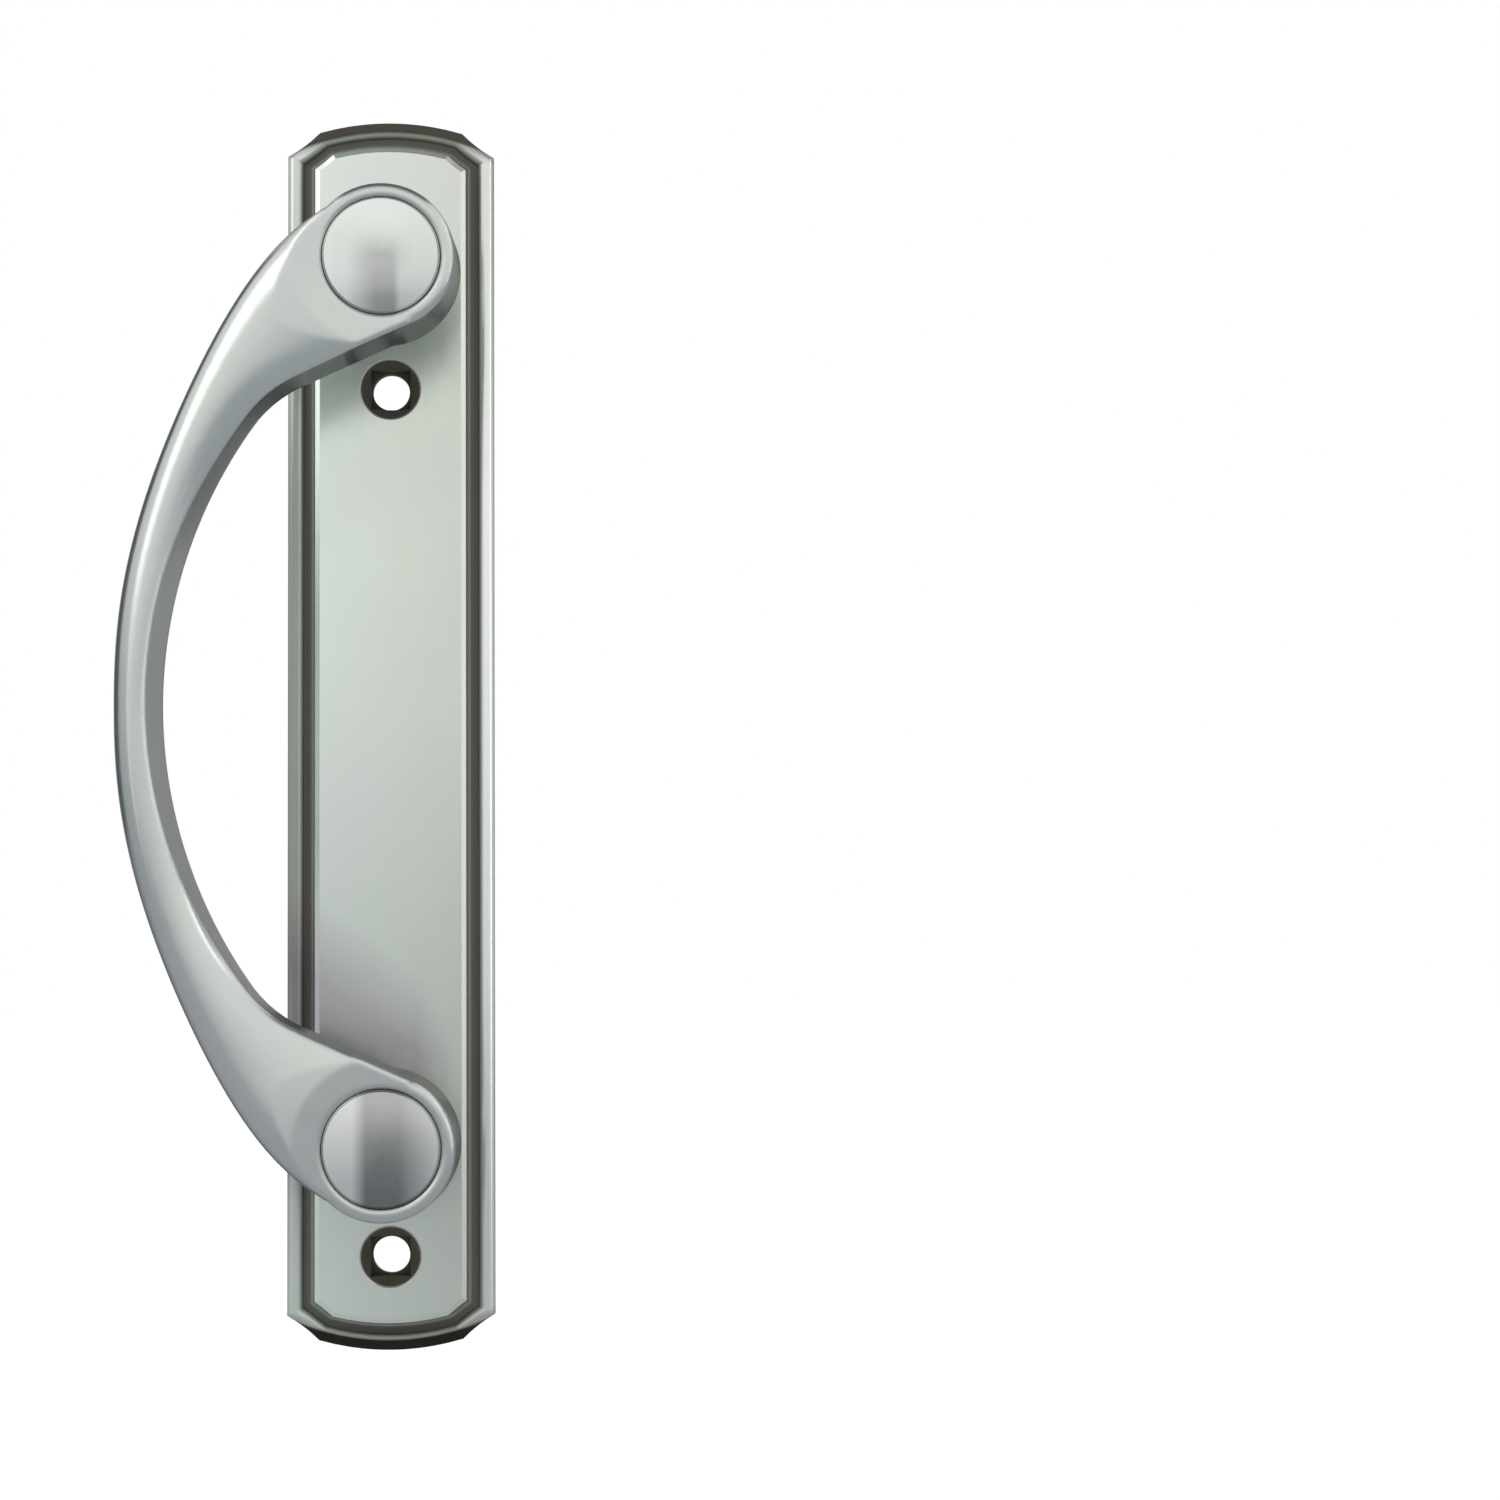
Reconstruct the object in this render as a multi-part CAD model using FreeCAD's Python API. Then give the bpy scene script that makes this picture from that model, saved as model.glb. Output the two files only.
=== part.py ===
import FreeCAD, Part
import math
import os

# Bow pull handle of a sliding patio door, in mm.
# X runs across the plate, Z up along it, and Y into the door. The origin is the centre of the plate's back face.
# Heights above the door face are counted towards the hand, so a height h lies at Y = -h.

Vector = FreeCAD.Vector
Y_AXIS = Vector(0, 1, 0)
TO_HAND = Vector(0, -1, 0)

# Plate
plate_width = 44.1
plate_length = 262.9
end_radius = 54.0
corner_across = 6.75
corner_down = 7.4
corner_scoop = 0.3
rim_height = 5.2
bead_width = 3.4
bead_round = 1.45
groove_height = 3.7
border_width = 6.0
cove_top = 6.9
cove_start = 15.0
cove_steps = 4
panel_height = 7.6
lip_height = 7.1
lip_width = 1.0

# Back of the plate
pocket_wall = 1.8
pocket_depth = 3.8
screw_pad_radius = 9.0
leg_pad_radius = 11.5
rib_width = 6.0
rib_spacing = 46.0

# Door mounting holes: countersink, square recess and round bore
upper_hole_z = 73.3
lower_hole_z = -111.4
hole_diameter = 7.9
square_side = 8.4
square_depth = 2.4
sink_diameter = 13.2
sink_depth = 2.4

# Bosses of the handle
upper_boss_z = 94.8
lower_boss_z = -85.9
face_height = 48.0
head_radius = 15.6
head_height = 29.0
face_radius = 14.9
face_chamfer = 0.8
foot_radius = 10.8
seat_radius = 7.5
seat_depth = 1.2
seat_clearance = 0.1
pad_radius = 18.3
pad_fall = 6.0
pad_fall_reach = 34.0

# Bow between the bosses
bow_reach = 54.8
outer_swell = 2.2
mid_width = 8.9
mid_crest_height = 45.0
boss_crest_height = 52.2
crown_drop = 8.0
boss_crown_drop = 2.0
mid_side_height = 37.0
boss_side_height = 42.0
back_height = 27.5
boss_back_height = 30.0
mid_crest_share = 0.45
boss_crest_share = 0.5
mid_fullness = 0.55
inner_fullness = 0.85
outer_fullness = 0.9
back_fullness = 0.6
inner_spare = 2.0
turn_shares = (0.0, 0.31, 0.83, 0.92)
boss_shares = (0.0, 0.33, 0.69, 0.88, 1.0)
far_side_turn = 17.0
crest_growth = 5
side_growth = 2
back_growth = 3
drop_growth = 3
fullness_growth = 2
side_lean = 1.8

# Finger opening between the bow and the plate
opening_slope = 24.2
opening_neck = 31.9
opening_round = 26.0

# Screws and washers inside the legs
screw_diameter = 6.0
thread_clearance = 0.05
shank_clearance = 0.3
screw_head_diameter = 10.0
screw_head_height = 6.0
socket_across = 5.0
socket_depth = 3.0
head_clearance = 0.75
floor_height = 20.0
thread_depth = 6.0
washer_outer_diameter = 9.9
washer_thickness = 1.6
washer_split = 1.2

# Caps
cap_diameter = 23.9
cap_clearance = 0.2
cap_rim_height = 0.5
cap_dome = 1.4
cap_recess = 1.8
cap_chamfer = 0.45
cap_spigot_length = 7.0
spigot_clearance = 0.05

boss_middle_z = (upper_boss_z + lower_boss_z) / 2
boss_half_spacing = (upper_boss_z - lower_boss_z) / 2
counterbore_radius = screw_head_diameter / 2 + head_clearance


def at_height(height):
    return Vector(0, -height, 0)


def prism(wire, low, high):
    """The wire lies in the plane of the door face; the prism stands between two heights."""
    face = Part.Face(wire)
    face.translate(at_height(low))
    return face.extrude(at_height(high - low))


def post(x, z, radius, low, high):
    return Part.makeCylinder(radius, high - low, Vector(x, -low, z), TO_HAND)


def level_edges(shape, height, keep):
    """Edges of the shape that lie flat at a height and that keep() accepts."""
    found = []
    for edge in shape.Edges:
        box = edge.BoundBox
        flat = abs(box.YMin + height) < 1e-4 and abs(box.YMax + height) < 1e-4
        if flat and keep(box):
            found.append(edge)
    return found


# Plate outline: straight sides, arched ends and a shallow scoop across each corner


def end_arc_z(x):
    middle = plate_length / 2 - end_radius
    return middle + math.sqrt(end_radius**2 - x**2)


def corner_points(side, end):
    """Where the scoop leaves the end arc, its deepest point, and where it meets the side."""
    x_end = plate_width / 2 - corner_across
    z_end = end_arc_z(x_end)
    x_side = plate_width / 2
    z_side = plate_length / 2 - corner_down
    run = math.hypot(x_side - x_end, z_end - z_side)
    x_mid = (x_end + x_side) / 2 - corner_scoop * (z_end - z_side) / run
    z_mid = (z_end + z_side) / 2 - corner_scoop * (x_side - x_end) / run
    corner = ((x_end, z_end), (x_mid, z_mid), (x_side, z_side))
    return [Vector(side * x, 0, end * z) for x, z in corner]


def plate_outline():
    upper_right = corner_points(1, 1)
    lower_right = corner_points(1, -1)
    lower_left = corner_points(-1, -1)
    upper_left = corner_points(-1, 1)
    bottom = Vector(0, 0, -plate_length / 2)
    top = Vector(0, 0, plate_length / 2)
    return Part.Wire([
        Part.Arc(*upper_right).toShape(),
        Part.makeLine(upper_right[2], lower_right[2]),
        Part.Arc(*reversed(lower_right)).toShape(),
        Part.Arc(lower_right[0], bottom, lower_left[0]).toShape(),
        Part.Arc(*lower_left).toShape(),
        Part.makeLine(lower_left[2], upper_left[2]),
        Part.Arc(*reversed(upper_left)).toShape(),
        Part.Arc(upper_left[0], top, upper_right[0]).toShape(),
    ])


def inset(wire, distance):
    return wire.makeOffset2D(-distance, 2)


def beaded_rim(outline):
    """The base of the plate with a rounded bead round its edge and a flat floor inside it."""
    inner = inset(outline, bead_width)
    inside = plate_width / 2 - bead_width + 0.01
    base = prism(outline, 0, rim_height)
    base = base.makeFillet(bead_round, level_edges(base, rim_height, lambda box: True))
    base = base.cut(prism(inner, groove_height, rim_height + 1))
    inner_edges = level_edges(base, rim_height, lambda box: box.XMax < inside and box.XMin > -inside)
    inner_edges = [e for e in inner_edges if max(abs(e.BoundBox.ZMin), abs(e.BoundBox.ZMax))
                   < plate_length / 2 - bead_width + 0.01]
    return base.makeFillet(bead_round, inner_edges)


def raised_panel(outline):
    """The panel in the middle, on a hollow quarter-round cove that rises from the groove."""
    cove_width = border_width - bead_width
    cove_height = cove_top - groove_height
    levels = []
    for step in range(cove_steps + 1):
        turn = math.radians(cove_start + (90 - cove_start) * step / cove_steps)
        inward = cove_width * math.sin(turn)
        rise = cove_height * (1 - math.cos(turn))
        wire = inset(outline, bead_width + inward)
        wire.translate(at_height(groove_height + rise))
        levels.append(wire)
    cove = Part.makeLoft(levels, True, True)
    start = math.radians(cove_start)
    root = prism(inset(outline, bead_width + cove_width * math.sin(start)),
                 groove_height / 2, groove_height + cove_height * (1 - math.cos(start)))
    lip_foot = inset(outline, border_width)
    lip_foot.translate(at_height(lip_height))
    lip_top = inset(outline, border_width + lip_width)
    lip_top.translate(at_height(panel_height))
    lip = prism(inset(outline, border_width), cove_top, lip_height)
    slope = Part.makeLoft([lip_foot, lip_top], True, True)
    return cove.fuse([root, lip, slope])


def back_pocket(outline):
    """What is cast away behind the panel: the pads under the legs and round the screws, and the ribs, stay."""
    pocket = prism(inset(outline, border_width + pocket_wall), -1, pocket_depth)
    for z in (upper_boss_z, lower_boss_z):
        pocket = pocket.cut(post(0, z, leg_pad_radius, -1, pocket_depth))
    for z in (upper_hole_z, lower_hole_z):
        pocket = pocket.cut(post(0, z, screw_pad_radius, -1, pocket_depth))
    for step in (-1, 0, 1):
        corner = Vector(-plate_width / 2, -pocket_depth, step * rib_spacing - rib_width / 2)
        pocket = pocket.cut(Part.makeBox(plate_width, pocket_depth + 1, rib_width, corner))
    return pocket


def door_hole(z):
    """Round bore, square recess for a square-necked bolt, and the countersink."""
    bore = post(0, z, hole_diameter / 2, -1, panel_height + 1)
    floor = panel_height - sink_depth - square_depth
    corner = Vector(-square_side / 2, -panel_height, z - square_side / 2)
    square = Part.makeBox(square_side, panel_height - floor, square_side, corner)
    sink = Part.makeCone(square_side / 2, sink_diameter / 2, sink_depth,
                         Vector(0, -(panel_height - sink_depth), z), TO_HAND)
    return bore.fuse([square, sink])


def backplate():
    outline = plate_outline()
    plate = beaded_rim(outline).fuse(raised_panel(outline))
    plate = plate.cut(back_pocket(outline))
    for z in (upper_hole_z, lower_hole_z):
        plate = plate.cut(door_hole(z))
    for z in (upper_boss_z, lower_boss_z):
        plate = plate.cut(post(0, z, seat_radius + seat_clearance, panel_height - seat_depth, panel_height + 1))
        plate = plate.cut(post(0, z, screw_diameter / 2 + thread_clearance, -1, panel_height))
    return plate.removeSplitter()


# Bow: a crowned bar lofted between two bosses, with the finger opening cut along its inner side


def arc_radius(sag, rise):
    """Radius of an arc that leaves its middle straight and falls away by a sag over a rise."""
    return (rise**2 + sag**2) / (2 * sag)


def halfway_along_arc(reach, end):
    """The middle of the arc that leaves (-reach, 0) straight up and runs through end."""
    radius = arc_radius(reach + end[0], end[1])
    turn = math.asin(end[1] / radius) / 2
    return (radius - reach - radius * math.cos(turn), radius * math.sin(turn))


def out_to_arc(start, turn, radius):
    """Where a ray from start at a turn meets the bow's outer arc."""
    ray = (math.cos(turn), math.sin(turn))
    place = (start[0] + bow_reach - radius, start[1])
    ahead = place[0] * ray[0] + place[1] * ray[1]
    run = math.sqrt(ahead**2 - place[0]**2 - place[1]**2 + radius**2) - ahead
    return (start[0] + run * ray[0], start[1] + run * ray[1])


def opening_corner(reach):
    """Upper half of the opening's outline: end of its long arc, middle and end of its rounded corner, and the far
    end of the straight stretch that touches the boss. Points are across and up from the middle of the bow.
    Without the rounded corner, the long arc would meet the straight stretch a neck's length below the boss."""
    slope = math.radians(opening_slope)
    along = (math.cos(slope), math.sin(slope))
    down = (math.sin(slope), -math.cos(slope))
    touch = (face_radius * down[0], boss_half_spacing + face_radius * down[1])
    meet = (touch[0] - opening_neck * along[0], touch[1] - opening_neck * along[1])
    radius = arc_radius(meet[0] + reach, meet[1])
    arc_middle = (radius - reach, 0)
    offset = face_radius + opening_round
    gap = (offset * down[0] - arc_middle[0], boss_half_spacing + offset * down[1])
    back = gap[0] * along[0] + gap[1] * along[1]
    reach_back = math.sqrt(back**2 - gap[0]**2 - gap[1]**2 + (radius - opening_round)**2)
    step = -back - reach_back
    middle = (arc_middle[0] + gap[0] + step * along[0], gap[1] + step * along[1])
    spread = math.hypot(middle[0] - arc_middle[0], middle[1])
    outward = ((middle[0] - arc_middle[0]) / spread, middle[1] / spread)
    halfway = (outward[0] - down[0], outward[1] - down[1])
    length = math.hypot(*halfway)
    arc_end = (middle[0] + opening_round * outward[0], middle[1] + opening_round * outward[1])
    bend = (middle[0] + opening_round * halfway[0] / length, middle[1] + opening_round * halfway[1] / length)
    line_start = (middle[0] - opening_round * down[0], middle[1] - opening_round * down[1])
    line_end = (touch[0] + face_radius * along[0], touch[1] + face_radius * along[1])
    return arc_end, bend, line_start, touch, line_end


def opening_wire(height):
    """Outline of the finger opening at a height: the bow's inner side leans outwards towards the hand."""
    reach = bow_reach - mid_width + side_lean * (height - back_height) / (mid_crest_height - back_height)
    half = opening_corner(reach)

    def place(index, end):
        return Vector(half[index][0], -height, boss_middle_z + end * half[index][1])

    return Part.Wire([
        Part.Arc(place(0, -1), Vector(-reach, -height, boss_middle_z), place(0, 1)).toShape(),
        Part.Arc(place(0, 1), place(1, 1), place(2, 1)).toShape(),
        Part.makeLine(place(2, 1), place(4, 1)),
        Part.makeLine(place(4, 1), place(4, -1)),
        Part.makeLine(place(4, -1), place(2, -1)),
        Part.Arc(place(2, -1), place(1, -1), place(0, -1)).toShape(),
    ])


def bow_stations():
    """Outer point, inner point and share of the way to the boss, from the bow's middle to one boss."""
    swell = (head_radius + outer_swell) * math.sqrt(0.5)
    outer_radius = arc_radius(bow_reach - swell, boss_half_spacing + swell)
    inner_reach = bow_reach - mid_width
    arc_end, bend, line_start, touch, line_end = opening_corner(inner_reach)
    neck = ((line_start[0] + touch[0]) / 2, (line_start[1] + touch[1]) / 2)
    inner = [(-inner_reach, 0), halfway_along_arc(inner_reach, arc_end), bend, neck, touch]
    far = math.radians(opening_slope + far_side_turn)
    far_point = (-face_radius * math.sin(far), boss_half_spacing + face_radius * math.cos(far))
    whole_turn = math.pi - math.atan2(far_point[1] - touch[1], far_point[0] - touch[0])
    outer = [out_to_arc(start, math.pi - share * whole_turn, outer_radius)
             for start, share in zip(inner, turn_shares)]
    return list(zip(outer + [far_point], inner, boss_shares))


def bezier(*points):
    curve = Part.BezierCurve()
    curve.setPoles(list(points))
    return curve.toShape()


def quarter(start, corner, end, fullness):
    """A rounded corner from start to end, whose tangents meet at corner."""
    return bezier(start, start + (corner - start) * fullness, end + (corner - end) * fullness, end)


def bow_section(outer, inner, share, end):
    """A section of the bow: crowned front, rounded outer side and back, and an inner side left for the opening."""
    across = Vector(outer[0] - inner[0], 0, end * (outer[1] - inner[1]))
    width = across.Length
    across.normalize()
    corner = Vector(inner[0], 0, boss_middle_z + end * inner[1])

    def between(middle, boss_end, power):
        return middle + (boss_end - middle) * share**power

    def point(u, height):
        return corner + across * u + at_height(height)

    crest = between(mid_crest_height, boss_crest_height, crest_growth)
    side = between(mid_side_height, boss_side_height, side_growth)
    back = between(back_height, boss_back_height, back_growth)
    crest_at = width * between(mid_crest_share, boss_crest_share, 1)
    top = point(crest_at, crest)
    shoulder = point(width, side)
    under = point(width / 2, back)
    spare_top = point(-inner_spare, crest - between(crown_drop, boss_crown_drop, drop_growth))
    inner_full = between(mid_fullness, inner_fullness, fullness_growth)
    outer_full = between(mid_fullness, outer_fullness, fullness_growth)
    spare_back = point(-inner_spare, back)
    return Part.Wire([
        Part.makeLine(spare_back, spare_top),
        quarter(spare_top, point(-inner_spare, crest), top, inner_full),
        quarter(top, point(width, crest), shoulder, outer_full),
        quarter(shoulder, point(width, back), under, back_fullness),
        Part.makeLine(under, spare_back),
    ])


def revolved(corners, z):
    """Solid of revolution about a boss's axis, from corners given as radius and height."""
    points = [Vector(radius, -height, 0) for radius, height in corners + corners[:1]]
    solid = Part.Face(Part.makePolygon(points)).revolve(Vector(0, 0, 0), Y_AXIS, 360)
    solid.translate(Vector(0, 0, z))
    return solid


def above_arm(z):
    """What comes off the arm outside the boss's flat pad, so that its crown falls away from a round edge."""
    drop = (pad_fall_reach - pad_radius) * math.tan(math.radians(pad_fall))
    top = boss_crest_height + 1
    return revolved([(pad_radius, face_height), (pad_fall_reach, face_height - drop),
                     (pad_fall_reach, top), (pad_radius, top)], z)


def bow():
    half = bow_stations()
    sections = []
    for outer, inner, share in reversed(half):
        sections.append(bow_section(outer, inner, share, 1))
    for outer, inner, share in half[1:]:
        sections.append(bow_section(outer, inner, share, -1))
    solid = Part.makeLoft(sections, True, False)
    above = Part.makeBox(4 * bow_reach, boss_crest_height, 2 * plate_length,
                         Vector(-2 * bow_reach, -face_height - boss_crest_height, -plate_length))
    opening = Part.makeLoft([opening_wire(floor_height), opening_wire(boss_crest_height + 1)], True, True)
    return solid.cut([above, above_arm(upper_boss_z), above_arm(lower_boss_z)]).cut(opening)


def boss(z):
    """Leg and head in one: a tapered leg, a head that draws in slightly and a flat face with a bevelled rim."""
    foot = panel_height
    solid = revolved([(0, foot), (foot_radius, foot), (head_radius, head_height),
                      (face_radius, face_height), (0, face_height)], z)
    return solid.makeChamfer(face_chamfer, level_edges(solid, face_height, lambda box: True))


def bow_handle():
    handle = bow().fuse([boss(upper_boss_z), boss(lower_boss_z)])
    for z in (upper_boss_z, lower_boss_z):
        handle = handle.fuse(post(0, z, seat_radius, panel_height - seat_depth, panel_height))
        handle = handle.cut(post(0, z, screw_diameter / 2 + shank_clearance, 0, face_height))
        handle = handle.cut(post(0, z, counterbore_radius, floor_height, face_height + 1))
        handle = handle.cut(post(0, z, cap_diameter / 2 + cap_clearance, face_height - cap_recess, face_height + 1))
    return handle.removeSplitter()


def cap(z):
    """Turned disc with a domed face and a spigot that presses into the counterbore."""
    seat = face_height - cap_recess
    rim = face_height + cap_rim_height
    dome_radius = arc_radius(cap_dome, cap_diameter / 2)
    ball = Part.makeSphere(dome_radius, at_height(rim + cap_dome - dome_radius))
    disc = post(0, 0, cap_diameter / 2, seat, rim + cap_dome).common(ball)
    disc = disc.makeChamfer(cap_chamfer, level_edges(disc, rim, lambda box: True))
    solid = disc.fuse(post(0, 0, counterbore_radius - spigot_clearance, seat - cap_spigot_length, seat))
    solid.translate(Vector(0, 0, z))
    return solid


def leg_screw(z):
    """Socket head cap screw from the counterbore floor into the plate."""
    under_head = floor_height + washer_thickness
    head = post(0, z, screw_head_diameter / 2, under_head, under_head + screw_head_height)
    shank = post(0, z, screw_diameter / 2, panel_height - thread_depth, under_head)
    points = []
    for step in range(7):
        turn = math.radians(60 * step)
        reach = socket_across / 2 / math.cos(math.radians(30))
        points.append(Vector(reach * math.cos(turn), 0, z + reach * math.sin(turn)))
    top = under_head + screw_head_height
    socket = prism(Part.makePolygon(points), top - socket_depth, top + 1)
    return head.fuse(shank).cut(socket)


def lock_washer(z):
    ring = post(0, z, washer_outer_diameter / 2, floor_height, floor_height + washer_thickness)
    ring = ring.cut(post(0, z, screw_diameter / 2 + thread_clearance, floor_height, floor_height + washer_thickness))
    slot = Part.makeBox(washer_split, washer_thickness + 2, washer_outer_diameter,
                        Vector(-washer_split / 2, -floor_height - washer_thickness - 1, z))
    return ring.cut(slot)


def main():
    os.makedirs("parts", exist_ok=True)
    nodes = {
        "backplate": backplate(),
        "bow_handle": bow_handle(),
        "top_cap": cap(upper_boss_z),
        "bottom_cap": cap(lower_boss_z),
        "top_leg_screw": leg_screw(upper_boss_z),
        "bottom_leg_screw": leg_screw(lower_boss_z),
        "top_lock_washer": lock_washer(upper_boss_z),
        "bottom_lock_washer": lock_washer(lower_boss_z),
    }
    for name, shape in nodes.items():
        print(name, "valid", shape.isValid(), "solids", len(shape.Solids), "volume", round(shape.Volume, 1))
        shape.exportStep(f"parts/{name}.step")


main()
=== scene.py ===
from collections import namedtuple
from functools import reduce
import math

import bpy
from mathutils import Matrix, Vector

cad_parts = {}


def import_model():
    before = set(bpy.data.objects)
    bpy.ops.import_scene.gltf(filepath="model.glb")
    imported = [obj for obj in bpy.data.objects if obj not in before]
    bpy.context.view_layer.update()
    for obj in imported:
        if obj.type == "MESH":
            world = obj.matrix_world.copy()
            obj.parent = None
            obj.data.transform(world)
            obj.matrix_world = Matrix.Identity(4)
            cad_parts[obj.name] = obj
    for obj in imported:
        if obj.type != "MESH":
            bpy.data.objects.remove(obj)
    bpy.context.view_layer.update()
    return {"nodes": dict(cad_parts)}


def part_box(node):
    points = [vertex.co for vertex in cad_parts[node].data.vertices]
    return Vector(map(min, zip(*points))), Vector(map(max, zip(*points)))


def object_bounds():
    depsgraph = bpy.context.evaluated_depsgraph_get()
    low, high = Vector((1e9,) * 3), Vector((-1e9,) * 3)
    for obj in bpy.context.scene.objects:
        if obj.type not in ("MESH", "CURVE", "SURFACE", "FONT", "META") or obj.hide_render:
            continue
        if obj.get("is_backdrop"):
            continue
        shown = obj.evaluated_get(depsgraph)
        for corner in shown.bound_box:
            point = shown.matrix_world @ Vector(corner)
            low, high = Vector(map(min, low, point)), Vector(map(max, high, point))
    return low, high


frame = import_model()

# Lengths are in metres. The handle's front faces -Y and its plate lies in the plane Y = 0.
# A span is a pair of values, and something changes evenly between its start and its end.

# Camera, worked out from the photograph's perspective on the bow and the caps
CAMERA_PLACE = Vector((0.0363, -0.768, -0.036))
CAMERA_AIM = Vector((0.0771, 0.0, -0.0038))
CAMERA_LENS = 85.4
CAMERA_SENSOR = 36.0
CAMERA_ROLL = math.radians(-0.25)
CAMERA_NEAR = 0.01

WHITE = (1.0, 1.0, 1.0, 1.0)
BLACK = (0.0, 0.0, 0.0, 1.0)

# Floor and room. The glow keeps the floor white to the camera where no shadow lies.
FLOOR_DROP = 0.12
FLOOR_SIZE = 12.0
FLOOR_COLOUR = (0.88, 0.88, 0.87, 1.0)
FLOOR_ROUGHNESS = 0.9
FLOOR_GLOW = 0.26
ROOM_STRENGTH = 0.9

# Soft light from the upper left
KEY_PLACE = (-0.8, -0.7, 0.7)
KEY_AIM = (0.0, 0.0, 0.0)
KEY_SIZE = (0.7, 1.0)
KEY_POWER = 2.0

# Studio cards: where each stands, the way it faces, its width and height, its tones and its strength. Tones
# run from the lower edge to the upper edge, each with its position between 0 and 1. Darker greys lean to blue,
# by the coolness.
COOLNESS = 0.3
Card = namedtuple("Card", "place facing size tones strength", defaults=(1.0,))
CARDS = {
    "card_front": Card((0.0, -1.4, -0.3), (0, 1, 0), (3.2, 2.4),
                       [(0.0, 0.3), (0.31, 0.54), (0.5, 0.62), (0.583, 0.65),
                        (0.646, 0.82), (0.73, 0.95), (1.0, 1.0)]),
    "card_low": Card((0.2, -1.3, -0.665), (0, 1, 0), (0.7, 1.27),
                     [(0.0, 0.06), (0.45, 0.14), (0.8, 0.38), (1.0, 0.5)]),
    "card_left": Card((-1.3, -0.1, -0.1), (1, 0, 0), (1.4, 2.2),
                      [(0.0, 0.22), (0.5, 0.46), (0.75, 0.85), (1.0, 1.0)]),
    "card_back_left": Card((-1.5, 1.6, 0.0), (1, 0, 0), (2.0, 3.0), [(0.0, 0.12), (1.0, 0.12)]),
    "card_back_right": Card((1.6, 1.8, 0.0), (-1, 0, 0), (2.0, 3.0), [(0.0, 0.28), (1.0, 0.28)]),
    "strip_right": Card((1.15, -0.6, -0.1), (-1, 0.55, 0), (0.22, 2.2), [(0.0, 1.0), (1.0, 1.0)],
                        strength=2.2),
    "card_above": Card((0.0, 2.0, 0.9), (0, 0, -1), (1.0, 5.4), [(0.0, 0.15), (1.0, 0.15)]),
    "card_below": Card((0.0, 1.8, -0.2), (0, 0, 1), (2.6, 6.0), [(0.0, 0.42), (1.0, 0.42)]),
    "card_right": Card((1.5, 0.1, -0.1), (-1, 0, 0), (1.4, 2.2), [(0.0, 0.35), (1.0, 0.5)]),
}

# Metal tones
# The plate's two tones paint light across its panel: lighter and greener on the left, darker and warmer on the
# right
PLATE_LEFT_TONE = (0.80, 0.885, 0.80, 1.0)
PLATE_RIGHT_TONE = (0.71, 0.75, 0.67, 1.0)
# Colour of the painted highlight on the plate's right bead
BEAD_HIGHLIGHT = (0.95, 0.97, 0.93, 1.0)
BOW_TONE = (0.62, 0.66, 0.62, 1.0)
CAP_TONE = (0.79, 0.82, 0.775, 1.0)
STEEL_TONE = (0.50, 0.50, 0.49, 1.0)
EDGE_TINT = (0.25, 0.25, 0.25, 1.0)

# Finishes: how fine the grain is along X, Y and Z, how rough, the share of painted shade in the deepest
# hollows, how near a wall has to be to make a hollow, how metallic unshaded places are, and how far edges look
# worn round
Finish = namedtuple("Finish", "grain rough grime reach metal soften", defaults=(0.0,))
PLATE_FINISH = Finish(grain=(420.0, 420.0, 40.0), rough=0.24, grime=0.9, reach=0.004, metal=0.8)
BOW_FINISH = Finish(grain=(300.0, 300.0, 300.0), rough=0.22, grime=0.3, reach=0.004, metal=0.93,
                    soften=0.0018)
CAP_FINISH = Finish(grain=(60.0, 60.0, 60.0), rough=0.28, grime=0.3, reach=0.003, metal=0.9)
STEEL_FINISH = Finish(grain=(400.0, 60.0, 400.0), rough=0.38, grime=0.6, reach=0.004, metal=0.9)

# Grain of the satin finish
GRAIN_DETAIL = 4.0
GRAIN_ROUGHNESS = 0.6
GRAIN_SPAN = (0.3, 0.7)
GRAIN_SPREAD = 0.02
GRAIN_BUMP = 0.03
GRAIN_HEIGHT = 0.00003
BEVEL_SAMPLES = 8

# Clouds in the plating: darker ones, and fewer that blush
CLOUD_SCALE = 26.0
CLOUD_DETAIL = 3.0
CLOUD_SPAN = (0.35, 0.65)
CLOUD_SHARE = 0.05
BLUSH = (0.62, 0.565, 0.63, 1.0)
BLUSH_SCALE = 19.0
BLUSH_DETAIL = 1.0
BLUSH_SPAN = (0.42, 0.62)
BLUSH_SHARE = 0.2

# Painted shade in hollows, grooves and holes: its colour, how the metal is made rougher and duller under it as
# it deepens, and how open a hollow is, from where it is full of shade to where it is free of it
HOLLOW_SHADE_COLOUR = (0.075, 0.068, 0.054, 1.0)
SHADED_ROUGHNESS = 0.25
SHADED_METAL = 0.1
SHADED_SPECULAR = 0.05
UNSHADED_SPECULAR = 0.5
DULL_SPAN = (0.3, 0.85)
HOLLOW_SPAN = (0.15, 0.6)
HOLLOW_SAMPLES = 8

# Plate outline, as far as its painted light and shade follow it
PLATE_HALF_WIDTH = 0.02205
PANEL_SPAN = (-0.016, 0.016)
END_RADIUS = 0.054
END_MIDDLE = 0.07745
CORNER_PLACE = (0.0153, 0.12924)
CORNER_NORMAL = (0.61, 0.793)
GROOVE_HEIGHT = 0.0034

# Painted shade in the groove, by the distance inside the outline
GROOVE_RISE = (0.0021, 0.0034)
GROOVE_FALL = (0.0049, 0.0062)
GROOVE_SHARE = 0.92
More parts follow.
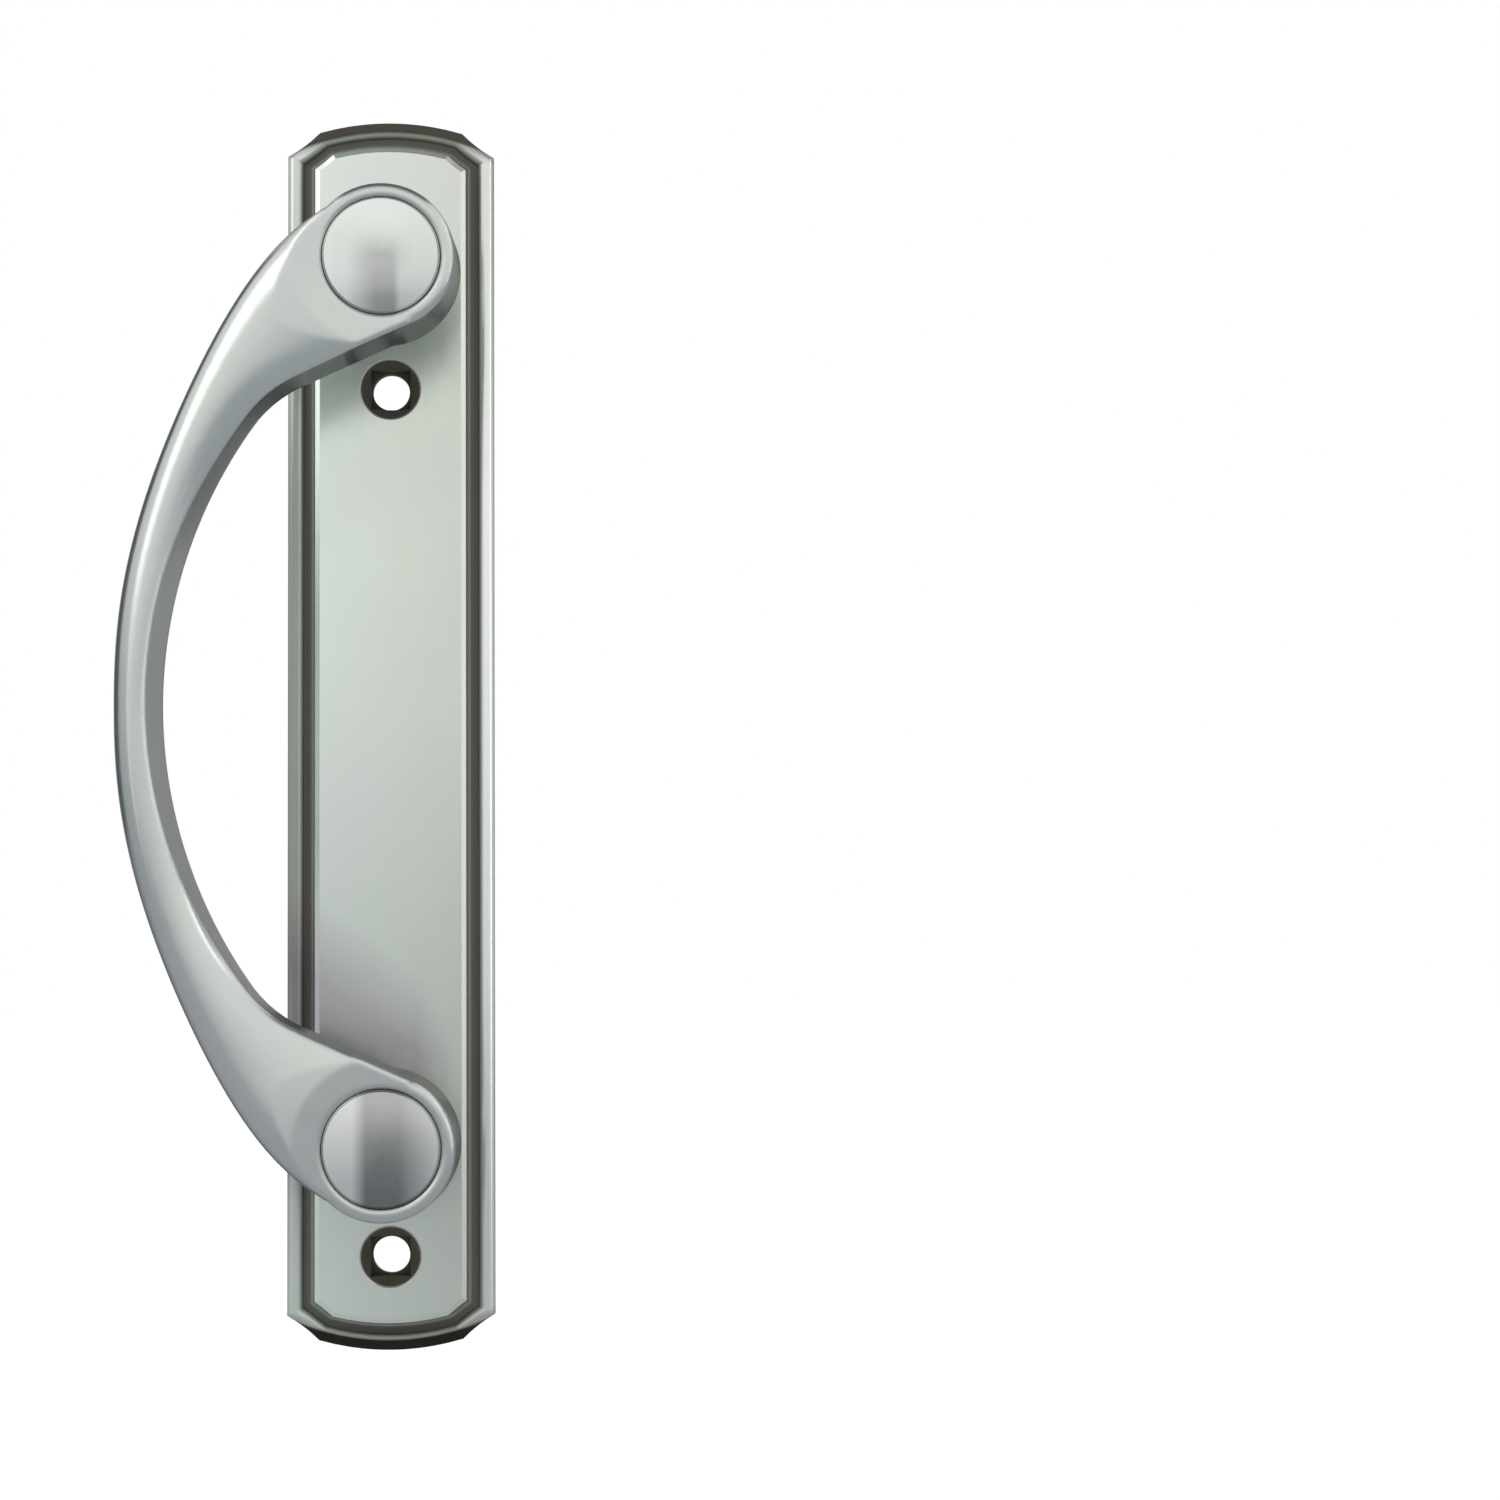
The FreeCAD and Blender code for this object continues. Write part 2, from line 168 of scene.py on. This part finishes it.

# Painted shade on the outer edge of the arched ends, by the distance inside them and by the depth. It is
# darker on the lower end, by the height.
EDGE_THIN = (0.0021, 0.0028)
EDGE_THIN_SHARE = 0.4
EDGE_FALL = (0.0030, 0.0042)
EDGE_DEPTH = (-0.0037, -0.0028)
LOWER_END_SHADE_COLOUR = (0.02, 0.018, 0.013, 1.0)
LOWER_END = (-0.1275, -0.1235)

# Bead on the plate's sides: painted shade on the left and a painted highlight on the right, both less towards
# the ends
BEAD_FALL = (0.0022, 0.0034)
BEAD_LENGTH = (0.05, 0.11)
BEAD_END_SHARE = 0.3
BEAD_SHADE_SHARE = 0.6
BEAD_HIGHLIGHT_SHARE = 0.85

# Purplish painted shade on the panel beside the lower leg, where the lower arm is reflected: it grows below a
# slanted line, fades to the right and ends behind the leg
PANEL_SHADE_TINT = (0.20, 0.08, 0.19, 1.0)
PANEL_SHADE_SHARE = 0.4
PANEL_SHADE_SLOPE = 0.74
PANEL_SHADE_RISE = (0.047, 0.064)
PANEL_SHADE_FALL = (0.006, 0.0145)
PANEL_SHADE_END = (-0.1, -0.085)

# Door mounting holes, with painted shade in their countersinks
HOLE_HEIGHTS = (0.0733, -0.1114)
HOLE_EDGE = (0.0062, 0.0066)

# Painted shade band on a turned cap, for the dark sectors of its reflection, measured from the cap's middle:
# the spans in which it starts on the left and ends on the right, the share left beyond its right end, its
# height and share at the top and at the bottom, and the share of the painted dark spot in the middle
Band = namedtuple("Band", "left right beyond high low spot")
UPPER_BAND = Band(left=(-0.0068, -0.001), right=(0.0026, 0.004), beyond=0.0,
                  high=(0.004, 0.0), low=(-0.009, 0.42), spot=0.2)
LOWER_BAND = Band(left=(-0.0058, -0.003), right=(0.0035, 0.0108), beyond=0.15,
                  high=(0.0095, 0.4), low=(-0.0095, 0.68), spot=0.03)
SPOT_SPAN = (0.0, 0.007)
CAP_ANISOTROPY = 0.7


class Tree:
    """A node tree, with short ways to add nodes. What a node is given is a number, a colour or an output."""

    def __init__(self, owner):
        owner.use_nodes = True
        self.nodes = owner.node_tree.nodes
        self.links = owner.node_tree.links

    def give(self, socket, value):
        if isinstance(value, bpy.types.NodeSocket):
            self.links.new(value, socket)
        else:
            socket.default_value = value

    def add(self, kind, inputs):
        """A new node. Its inputs are given by name or by number."""
        node = self.nodes.new(kind)
        for key, value in inputs.items():
            self.give(node.inputs[key], value)
        return node

    def calculate(self, operation, *values):
        """What a maths operation makes of one or two values."""
        node = self.add("ShaderNodeMath", dict(enumerate(values)))
        node.operation = operation
        return node.outputs["Value"]

    def product(self, *values):
        return reduce(lambda first, second: self.calculate("MULTIPLY", first, second), values)

    def largest(self, *values):
        return reduce(lambda first, second: self.calculate("MAXIMUM", first, second), values)

    def smallest(self, *values):
        return reduce(lambda first, second: self.calculate("MINIMUM", first, second), values)

    def distance(self, first, second):
        """Straight distance over two steps at a right angle."""
        squares = self.calculate("ADD", self.product(first, first), self.product(second, second))
        return self.calculate("SQRT", squares)

    def fade(self, value, span, first, last):
        """First up to the span's start, last from its end on, and changing evenly in between."""
        limits = {"Value": value, "From Min": span[0], "From Max": span[1], "To Min": first, "To Max": last}
        return self.add("ShaderNodeMapRange", limits).outputs["Result"]

    def mix(self, share, first, second):
        """First colour where the share is 0, second where it is 1."""
        node = self.nodes.new("ShaderNodeMix")
        node.data_type = "RGBA"
        for name, value in (("Factor", share), ("A", first), ("B", second)):
            self.give(node.inputs[name], value)
        return node.outputs["Result"]

    def coordinates(self, kind="Object"):
        return self.nodes.new("ShaderNodeTexCoord").outputs[kind]

    def stretched(self, scale):
        """Object coordinates, scaled along each axis."""
        stretch = self.add("ShaderNodeMapping", {"Vector": self.coordinates(), "Scale": scale})
        return stretch.outputs["Vector"]

    def axes(self, kind="Object"):
        """X, Y and Z of the coordinates, each as an output."""
        split = self.add("ShaderNodeSeparateXYZ", {"Vector": self.coordinates(kind)})
        return split.outputs["X"], split.outputs["Y"], split.outputs["Z"]

    def noise(self, place, scale, detail, roughness=0.5):
        inputs = {"Vector": place, "Scale": scale, "Detail": detail, "Roughness": roughness}
        return self.add("ShaderNodeTexNoise", inputs).outputs["Fac"]

    def seen(self):
        """1 for camera, reflection and transmission rays, 0 for the rays that carry the light."""
        path = self.nodes.new("ShaderNodeLightPath")
        return self.largest(path.outputs["Is Camera Ray"], path.outputs["Is Glossy Ray"],
                            path.outputs["Is Transmission Ray"])


class Surface(Tree):
    """The node tree of a new material, with a Principled shader."""

    def __init__(self, name):
        self.material = bpy.data.materials.new(name)
        super().__init__(self.material)
        self.nodes.clear()
        self.shader = self.nodes.new("ShaderNodeBsdfPrincipled")
        self.add("ShaderNodeOutputMaterial", {"Surface": self.shader.outputs["BSDF"]})

    def paint(self, inputs):
        """Gives the shader's inputs their values, by name."""
        for name, value in inputs.items():
            self.give(self.shader.inputs[name], value)


def hollows(surface, finish):
    """Share of painted shade: as much as the finish has deep in grooves and holes, none on open faces."""
    shade = surface.add("ShaderNodeAmbientOcclusion", {"Distance": finish.reach})
    shade.samples = HOLLOW_SAMPLES
    return surface.product(surface.fade(shade.outputs["AO"], HOLLOW_SPAN, 1.0, 0.0), finish.grime)


def clouded(surface, tone):
    """The tone with its faint dark and blushing clouds."""
    place = surface.coordinates()
    clouds = surface.noise(place, CLOUD_SCALE, CLOUD_DETAIL)
    tone = surface.mix(surface.fade(clouds, CLOUD_SPAN, CLOUD_SHARE, 0.0), tone, BLACK)
    patches = surface.noise(place, BLUSH_SCALE, BLUSH_DETAIL)
    return surface.mix(surface.fade(patches, BLUSH_SPAN, 0.0, BLUSH_SHARE), tone, BLUSH)


def grain_normal(surface, grain, finish):
    """Surface direction with the grain's fine relief, and with edges worn round where the finish has them."""
    relief = {"Height": grain, "Strength": GRAIN_BUMP, "Distance": GRAIN_HEIGHT}
    if finish.soften > 0.0:
        worn = surface.add("ShaderNodeBevel", {"Radius": finish.soften})
        worn.samples = BEVEL_SAMPLES
        relief["Normal"] = worn.outputs["Normal"]
    return surface.add("ShaderNodeBump", relief).outputs["Normal"]


def coat(surface, colour, deep, finish):
    """Gives the surface its colour and its satin grain, which is rough and dull under the painted shade."""
    grain = surface.noise(surface.stretched(finish.grain), 1.0, GRAIN_DETAIL, GRAIN_ROUGHNESS)
    rough = surface.fade(grain, GRAIN_SPAN, finish.rough - GRAIN_SPREAD, finish.rough + GRAIN_SPREAD)
    surface.paint({
        "Base Color": colour,
        "Roughness": surface.calculate("ADD", rough, surface.product(deep, SHADED_ROUGHNESS)),
        "Normal": grain_normal(surface, grain, finish),
        "Metallic": surface.fade(deep, DULL_SPAN, finish.metal, SHADED_METAL),
        "Specular IOR Level": surface.fade(deep, DULL_SPAN, UNSHADED_SPECULAR, SHADED_SPECULAR),
        "Specular Tint": EDGE_TINT,
    })


def satin_metal(name, tone, finish):
    """Plated metal with a satin grain, a cloudy tone and painted shade in its hollows."""
    surface = Surface(name)
    deep = hollows(surface, finish)
    coat(surface, surface.mix(deep, clouded(surface, tone), HOLLOW_SHADE_COLOUR), deep, finish)
    return surface.material


def round_holes(surface, across, up):
    """Share of painted shade: 1 inside the countersinks of the mounting holes, 0 on the panel round them."""
    masks = []
    for height in HOLE_HEIGHTS:
        away = surface.distance(across, surface.calculate("SUBTRACT", up, height))
        masks.append(surface.fade(away, HOLE_EDGE, 1.0, 0.0))
    return surface.largest(*masks)


def insets(surface, across, up):
    """How far a place lies inside the plate's sides, inside its arched ends and inside its whole outline."""
    side = surface.calculate("SUBTRACT", PLATE_HALF_WIDTH, across)
    beyond = surface.largest(surface.calculate("SUBTRACT", up, END_MIDDLE), 0.0)
    end = surface.calculate("SUBTRACT", END_RADIUS, surface.distance(across, beyond))
    parts = [surface.product(surface.calculate("SUBTRACT", corner, value), normal)
             for corner, value, normal in zip(CORNER_PLACE, (across, up), CORNER_NORMAL)]
    return side, end, surface.smallest(side, end, surface.calculate("ADD", *parts))


def plate_shade_and_highlight(surface, across, depth, up, front):
    """Two shares: of painted shade in the groove, on the ends' outer edge and, weakly, on the left bead,
    and of a painted highlight on the right bead."""
    height = surface.calculate("ABSOLUTE", up)
    side, end, inset = insets(surface, surface.calculate("ABSOLUTE", across), height)
    groove = surface.product(surface.fade(inset, GROOVE_RISE, 0.0, GROOVE_SHARE),
                             surface.fade(inset, GROOVE_FALL, 1.0, 0.0), front)
    edge = surface.product(surface.fade(end, EDGE_THIN, 1.0, EDGE_THIN_SHARE),
                           surface.fade(end, EDGE_FALL, 1.0, 0.0),
                           surface.fade(depth, EDGE_DEPTH, 1.0, 0.0))
    bead = surface.product(surface.fade(side, BEAD_FALL, 1.0, 0.0),
                           surface.fade(height, BEAD_LENGTH, 1.0, BEAD_END_SHARE))
    left = surface.product(bead, surface.calculate("LESS_THAN", across, 0.0))
    right = surface.calculate("SUBTRACT", bead, left)
    dark = surface.largest(groove, edge, surface.product(left, BEAD_SHADE_SHARE))
    return dark, surface.product(right, BEAD_HIGHLIGHT_SHARE)


def painted_panel_shade(surface, across, up, front):
    """Share of the purplish painted shade on the front of the plate."""
    slanted = surface.calculate("ADD", up, surface.product(across, PANEL_SHADE_SLOPE))
    below = surface.product(slanted, -1.0)
    return surface.product(front,
                           surface.fade(below, PANEL_SHADE_RISE, 0.0, PANEL_SHADE_SHARE),
                           surface.fade(across, PANEL_SHADE_FALL, 1.0, 0.0),
                           surface.fade(up, PANEL_SHADE_END, 0.0, 1.0))


def plate_metal(name):
    """Satin metal painted lighter and greener on its left, with a painted highlight on its right bead, and
    painted shade on its panel, in its groove, in its holes and on its ends."""
    surface = Surface(name)
    across, depth, up = surface.axes()
    front = surface.calculate("LESS_THAN", depth, -GROOVE_HEIGHT)
    dark, bright = plate_shade_and_highlight(surface, across, depth, up, front)
    # Painted light: the panel is lighter and greener on its left than on its right
    tone = surface.mix(surface.fade(across, PANEL_SPAN, 0.0, 1.0), PLATE_LEFT_TONE, PLATE_RIGHT_TONE)
    # Purplish painted shade beside the lower leg
    tone = surface.mix(painted_panel_shade(surface, across, up, front), clouded(surface, tone), PANEL_SHADE_TINT)
    # Painted highlight on the right bead
    tone = surface.mix(bright, tone, BEAD_HIGHLIGHT)
    # Colour of the painted shade, darker on the lower end
    plate_shade_colour = surface.mix(surface.fade(up, LOWER_END, 1.0, 0.0), HOLLOW_SHADE_COLOUR, LOWER_END_SHADE_COLOUR)
    deep = surface.largest(hollows(surface, PLATE_FINISH), round_holes(surface, across, up), dark)
    coat(surface, surface.mix(deep, tone, plate_shade_colour), deep, PLATE_FINISH)
    return surface.material


def cap_shade(surface, across, up, band):
    """How dark the painted band and spot of shade make each place of a cap."""
    (high, high_share), (low, low_share) = band.high, band.low
    shade = surface.product(surface.fade(across, band.left, 0.0, 1.0),
                            surface.fade(across, band.right, 1.0, band.beyond),
                            surface.fade(up, (low, high), low_share, high_share))
    spot = surface.fade(surface.distance(across, up), SPOT_SPAN, band.spot, 0.0)
    return surface.calculate("ADD", shade, spot)


def turned_cap(node, band):
    """Satin metal with a lathe's fine rings, painted shade in its hollows and the cap's painted band of shade.
    """
    surface = Surface(node + "_turned_nickel")
    low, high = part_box(node)
    across, _, up = surface.axes()
    up = surface.calculate("SUBTRACT", up, (low[2] + high[2]) / 2)
    deep = hollows(surface, CAP_FINISH)
    colour = surface.mix(deep, clouded(surface, CAP_TONE), HOLLOW_SHADE_COLOUR)
    coat(surface, surface.mix(cap_shade(surface, across, up, band), colour, BLACK), deep, CAP_FINISH)
    along_ring = surface.add("ShaderNodeCombineXYZ", {"X": surface.product(up, -1.0), "Z": across})
    tangent = surface.add("ShaderNodeVectorMath", {0: along_ring.outputs["Vector"]})
    tangent.operation = "NORMALIZE"
    surface.paint({"Tangent": tangent.outputs["Vector"], "Anisotropic": CAP_ANISOTROPY})
    return surface.material


def dress():
    """Gives every node its material."""
    steel = satin_metal("screw_zinc_steel", STEEL_TONE, STEEL_FINISH)
    materials = {
        "backplate": plate_metal("plate_satin_nickel"),
        "bow_handle": satin_metal("bow_satin_nickel", BOW_TONE, BOW_FINISH),
        "top_cap": turned_cap("top_cap", UPPER_BAND),
        "bottom_cap": turned_cap("bottom_cap", LOWER_BAND),
        "top_leg_screw": steel,
        "bottom_leg_screw": steel,
        "top_lock_washer": steel,
        "bottom_lock_washer": steel,
    }
    for node, material in materials.items():
        for slot in frame["nodes"][node].material_slots:
            slot.material = material


def floor():
    """Pale floor, white to the camera and in reflections where no shadow of the object lies."""
    low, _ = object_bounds()
    bpy.ops.mesh.primitive_plane_add(size=FLOOR_SIZE, location=(0, 0, low[2] - FLOOR_DROP))
    plane = bpy.context.object
    plane.name = "floor"
    surface = Surface("floor_pale")
    surface.paint({
        "Base Color": FLOOR_COLOUR,
        "Roughness": FLOOR_ROUGHNESS,
        "Specular IOR Level": 0.0,
        "Emission Color": WHITE,
        "Emission Strength": surface.product(surface.seen(), FLOOR_GLOW),
    })
    plane.data.materials.append(surface.material)
    plane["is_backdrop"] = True


def world():
    """White background, and a plain soft room for the light."""
    surround = bpy.data.worlds.new("studio")
    bpy.context.scene.world = surround
    tree = Tree(surround)
    background = tree.nodes["Background"].inputs
    tree.give(background["Color"], WHITE)
    tree.give(background["Strength"], tree.fade(tree.seen(), (0.0, 1.0), ROOM_STRENGTH, 1.0))


def softbox(name):
    """Large soft light that gives the object its shadow."""
    data = bpy.data.lights.new(name, "AREA")
    data.shape = "RECTANGLE"
    data.size, data.size_y = KEY_SIZE
    data.energy = KEY_POWER
    lamp = bpy.data.objects.new(name, data)
    bpy.context.scene.collection.objects.link(lamp)
    lamp.location = KEY_PLACE
    lamp.rotation_euler = (Vector(KEY_AIM) - Vector(KEY_PLACE)).to_track_quat("-Z", "Y").to_euler()


def tone_ramp(surface, value, tones):
    """Colour that follows the tones as the value goes from 0 to 1."""
    node = surface.add("ShaderNodeValToRGB", {"Fac": value})
    elements = node.color_ramp.elements
    while len(elements) < len(tones):
        elements.new(0.5)
    for element, (position, grey) in zip(elements, tones):
        lean = COOLNESS * grey * (1.0 - grey) ** 2
        element.position = position
        element.color = (grey - lean / 2, grey, grey + lean, 1.0)
    return node.outputs["Color"]


def card(name, place, facing, size, tones, strength):
    """A studio card that is seen only in reflections and gives the metal its light and dark zones."""
    bpy.ops.mesh.primitive_plane_add(size=1.0, location=place)
    sheet = bpy.context.object
    sheet.name = name
    sheet.scale = (*size, 1.0)
    sheet.rotation_euler = Vector(facing).to_track_quat("Z", "Y").to_euler()
    surface = Surface(name + "_grey")
    _, height, _ = surface.axes("Generated")
    surface.paint({
        "Base Color": BLACK,
        "Roughness": 1.0,
        "Specular IOR Level": 0.0,
        "Emission Color": tone_ramp(surface, height, tones),
        "Emission Strength": strength,
    })
    sheet.data.materials.append(surface.material)
    sheet.visible_camera = False
    sheet.visible_diffuse = False
    sheet.visible_shadow = False
    sheet.visible_transmission = False
    sheet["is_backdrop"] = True


def camera():
    data = bpy.data.cameras.new("camera")
    data.lens = CAMERA_LENS
    data.sensor_width = CAMERA_SENSOR
    data.clip_start = CAMERA_NEAR
    eye = bpy.data.objects.new("camera", data)
    bpy.context.scene.collection.objects.link(eye)
    eye.location = CAMERA_PLACE
    eye.rotation_euler = (CAMERA_AIM - CAMERA_PLACE).to_track_quat("-Z", "Y").to_euler()
    eye.rotation_euler.rotate_axis("Z", CAMERA_ROLL)
    bpy.context.scene.camera = eye


camera()
dress()
floor()
world()
softbox("key_left")
for card_name, facts in CARDS.items():
    card(card_name, *facts)
bpy.context.scene.view_settings.view_transform = "Standard"
